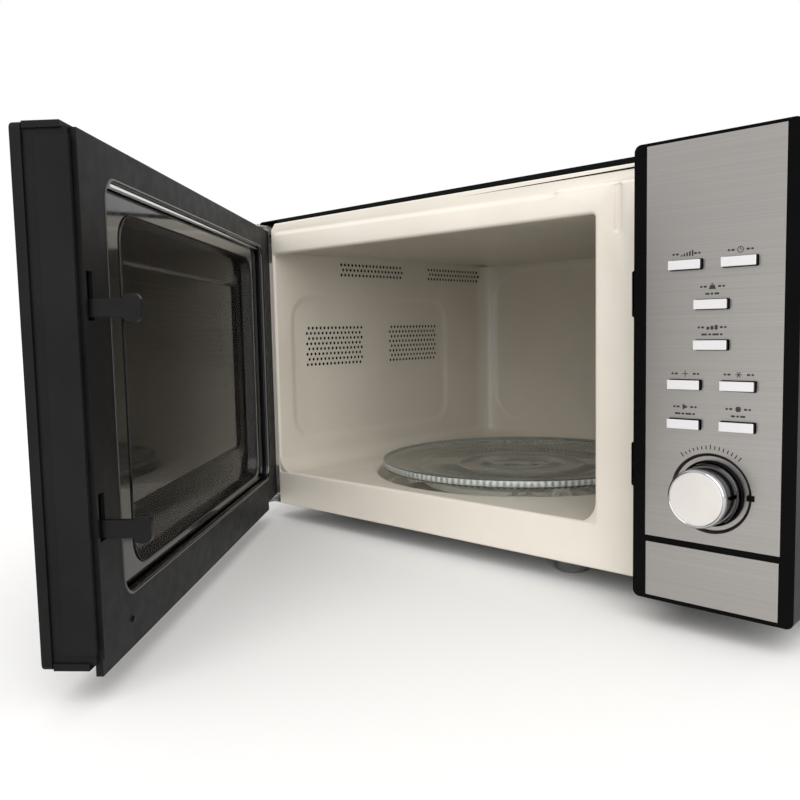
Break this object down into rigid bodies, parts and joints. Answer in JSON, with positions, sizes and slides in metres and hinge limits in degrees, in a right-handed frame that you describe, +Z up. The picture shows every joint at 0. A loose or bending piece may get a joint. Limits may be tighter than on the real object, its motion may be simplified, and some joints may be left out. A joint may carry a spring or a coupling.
{
  "type": "microwave oven",
  "caption": "Countertop microwave oven, door ajar on side hinges, with keypad, rotary dial, release button, glass turntable on a roller ring and its inner works.",
  "frame": {"origin": "on the worktop, under the middle of the bounding box with the door ajar", "axes": "+Z up, +Y from the door into the oven, +X towards the control panel"},
  "size_m": [0.493, 0.6712, 0.2758],
  "materials": {
    "aluminium": "mill",
    "back_panel": "bare galvanised grey",
    "base_plate": "bare galvanised grey",
    "black_plastic": "gloss black",
    "board": "solder mask",
    "copper": "enamelled winding",
    "cream": "cream powder coat",
    "dark_plastic": "satin black",
    "display": "dark window",
    "faceplate": "brushed",
    "feet": "matte grey",
    "film": "smoked film",
    "glass_clear": "clear pressed glass",
    "glass_dark": "black tinted",
    "iron": "varnished laminations",
    "keys": "silver metallised",
    "knob": "satin face and bright rim",
    "mica": "mica sheet",
    "outer_cover": "semi-gloss black enamel",
    "spring": "drawn wire",
    "white_plastic": "natural",
    "zinc": "zinc plated"
  },
  "bodies": {
    "case": {"outer_cover": "outer_cover", "back_panel": "back_panel", "base_plate": "base_plate", "feet": "feet", "front_frame": "cream", "cavity_left_wall": "cream", "cavity_right_wall": "cream", "cavity_back_wall": "cream", "cavity_ceiling": "cream", "cavity_floor": "cream", "hinge_brackets": "zinc", "control_housing": "black_plastic", "faceplate": "faceplate", "encoder_body": "board", "control_board": "board", "display_module": "display", "latch_bracket": "dark_plastic", "door_switches": "dark_plastic", "magnetron_body": "aluminium", "magnetron_fins": "aluminium", "waveguide": "zinc", "waveguide_cover": "mica", "transformer_core": "iron", "transformer_coils": "copper", "capacitor": "aluminium", "hv_diode": "dark_plastic", "fan_motor": "iron", "fan_duct": "dark_plastic", "turntable_motor": "zinc", "lamp": "white_plastic", "noise_filter": "board", "cord_gland": "dark_plastic", "case_screws": "zinc"},
    "door": {"door_shell": "dark_plastic", "door_glass": "glass_dark", "door_pan": "dark_plastic", "door_choke_cover": "dark_plastic", "door_film": "film", "door_hinge_pins": "zinc", "latch_spring": "spring"},
    "latch": {"latch_hooks": "dark_plastic"},
    "release_button": {"release_button": "faceplate"},
    "release_lever": {"release_lever": "white_plastic"},
    "dial": {"knob": "knob", "encoder_shaft": "zinc"},
    "fan": {"fan_blade": "white_plastic"},
    "coupler": {"drive_coupler": "white_plastic"},
    "plate": {"glass_plate": "glass_clear"},
    "ring": {"roller_ring": "white_plastic"},
    "key_power": {"key_power": "keys"},
    "key_clock": {"key_clock": "keys"},
    "key_weight": {"key_weight": "keys"},
    "key_stage": {"key_stage": "keys"},
    "key_speed_defrost": {"key_speed_defrost": "keys"},
    "key_auto_defrost": {"key_auto_defrost": "keys"},
    "key_start": {"key_start": "keys"},
    "key_stop": {"key_stop": "keys"},
    "roller_1": {"roller_1": "white_plastic"},
    "roller_2": {"roller_2": "white_plastic"},
    "roller_3": {"roller_3": "white_plastic"}
  },
  "joints": [
    {"name": "door_hinge", "type": "hinge", "parent": "case", "child": "door", "pos_m": [-0.22502, -0.0314, 0.14], "axis": [0, 0, -1], "range_deg": [-50, 40]},
    {"name": "latch_lift", "type": "slide", "parent": "door", "child": "latch", "axis": [0, 0, 1], "range_m": [0, 0.008], "stiffness_N_per_m": 250, "springref_m": -0.006, "deforming": ["latch_spring"]},
    {"name": "release_press", "type": "slide", "parent": "case", "child": "release_button", "axis": [0, 1, 0], "range_m": [0, 0.004], "stiffness_N_per_m": 400, "springref_m": -0.002},
    {"name": "release_lever_turn", "type": "hinge", "parent": "case", "child": "release_lever", "pos_m": [0.15918, -0.0114, 0.062], "axis": [1, 0, 0], "range_deg": [0, 12.1]},
    {"name": "dial_turn", "type": "hinge", "parent": "case", "child": "dial", "pos_m": [0.20258, -0.0604, 0.082], "axis": [0, -1, 0], "continuous": true},
    {"name": "fan_spin", "type": "hinge", "parent": "case", "child": "fan", "pos_m": [0.18498, 0.2916, 0.19], "axis": [0, 1, 0], "continuous": true},
    {"name": "turntable_spin", "type": "hinge", "parent": "case", "child": "coupler", "pos_m": [-0.05202, 0.1316, 0.04], "axis": [0, 0, 1], "continuous": true},
    {"name": "plate_lift_off", "type": "slide", "parent": "coupler", "child": "plate", "axis": [0, 0, 1], "range_m": [0, 0.15]},
    {"name": "ring_spin", "type": "hinge", "parent": "case", "child": "ring", "pos_m": [-0.05202, 0.1316, 0.0367], "axis": [0, 0, 1], "continuous": true},
    {"name": "key_power_press", "type": "slide", "parent": "case", "child": "key_power", "axis": [0, 1, 0], "range_m": [0, 0.0008], "stiffness_N_per_m": 600, "springref_m": -0.0006},
    {"name": "key_clock_press", "type": "slide", "parent": "case", "child": "key_clock", "axis": [0, 1, 0], "range_m": [0, 0.0008], "stiffness_N_per_m": 600, "springref_m": -0.0006},
    {"name": "key_weight_press", "type": "slide", "parent": "case", "child": "key_weight", "axis": [0, 1, 0], "range_m": [0, 0.0008], "stiffness_N_per_m": 600, "springref_m": -0.0006},
    {"name": "key_stage_press", "type": "slide", "parent": "case", "child": "key_stage", "axis": [0, 1, 0], "range_m": [0, 0.0008], "stiffness_N_per_m": 600, "springref_m": -0.0006},
    {"name": "key_speed_defrost_press", "type": "slide", "parent": "case", "child": "key_speed_defrost", "axis": [0, 1, 0], "range_m": [0, 0.0008], "stiffness_N_per_m": 600, "springref_m": -0.0006},
    {"name": "key_auto_defrost_press", "type": "slide", "parent": "case", "child": "key_auto_defrost", "axis": [0, 1, 0], "range_m": [0, 0.0008], "stiffness_N_per_m": 600, "springref_m": -0.0006},
    {"name": "key_start_press", "type": "slide", "parent": "case", "child": "key_start", "axis": [0, 1, 0], "range_m": [0, 0.0008], "stiffness_N_per_m": 600, "springref_m": -0.0006},
    {"name": "key_stop_press", "type": "slide", "parent": "case", "child": "key_stop", "axis": [0, 1, 0], "range_m": [0, 0.0008], "stiffness_N_per_m": 600, "springref_m": -0.0006},
    {"name": "roller_1_roll", "type": "hinge", "parent": "ring", "child": "roller_1", "pos_m": [0.02969, 0.07224, 0.0367], "axis": [0.809, -0.5878, 0], "continuous": true},
    {"name": "roller_2_roll", "type": "hinge", "parent": "ring", "child": "roller_2", "pos_m": [-0.04146, 0.23205, 0.0367], "axis": [0.1045, 0.9945, 0], "continuous": true},
    {"name": "roller_3_roll", "type": "hinge", "parent": "ring", "child": "roller_3", "pos_m": [-0.14429, 0.09052, 0.0367], "axis": [-0.9135, -0.4067, 0], "continuous": true}
  ],
  "couplings": [
    {"joint": "release_lever_turn", "follows": "release_press", "rad_per_m": 52.5},
    {"joint": "ring_spin", "follows": "turntable_spin", "ratio": 0.5},
    {"joint": "roller_1_roll", "follows": "turntable_spin", "ratio": -5.6111},
    {"joint": "roller_2_roll", "follows": "turntable_spin", "ratio": -5.6111},
    {"joint": "roller_3_roll", "follows": "turntable_spin", "ratio": -5.6111}
  ]
}
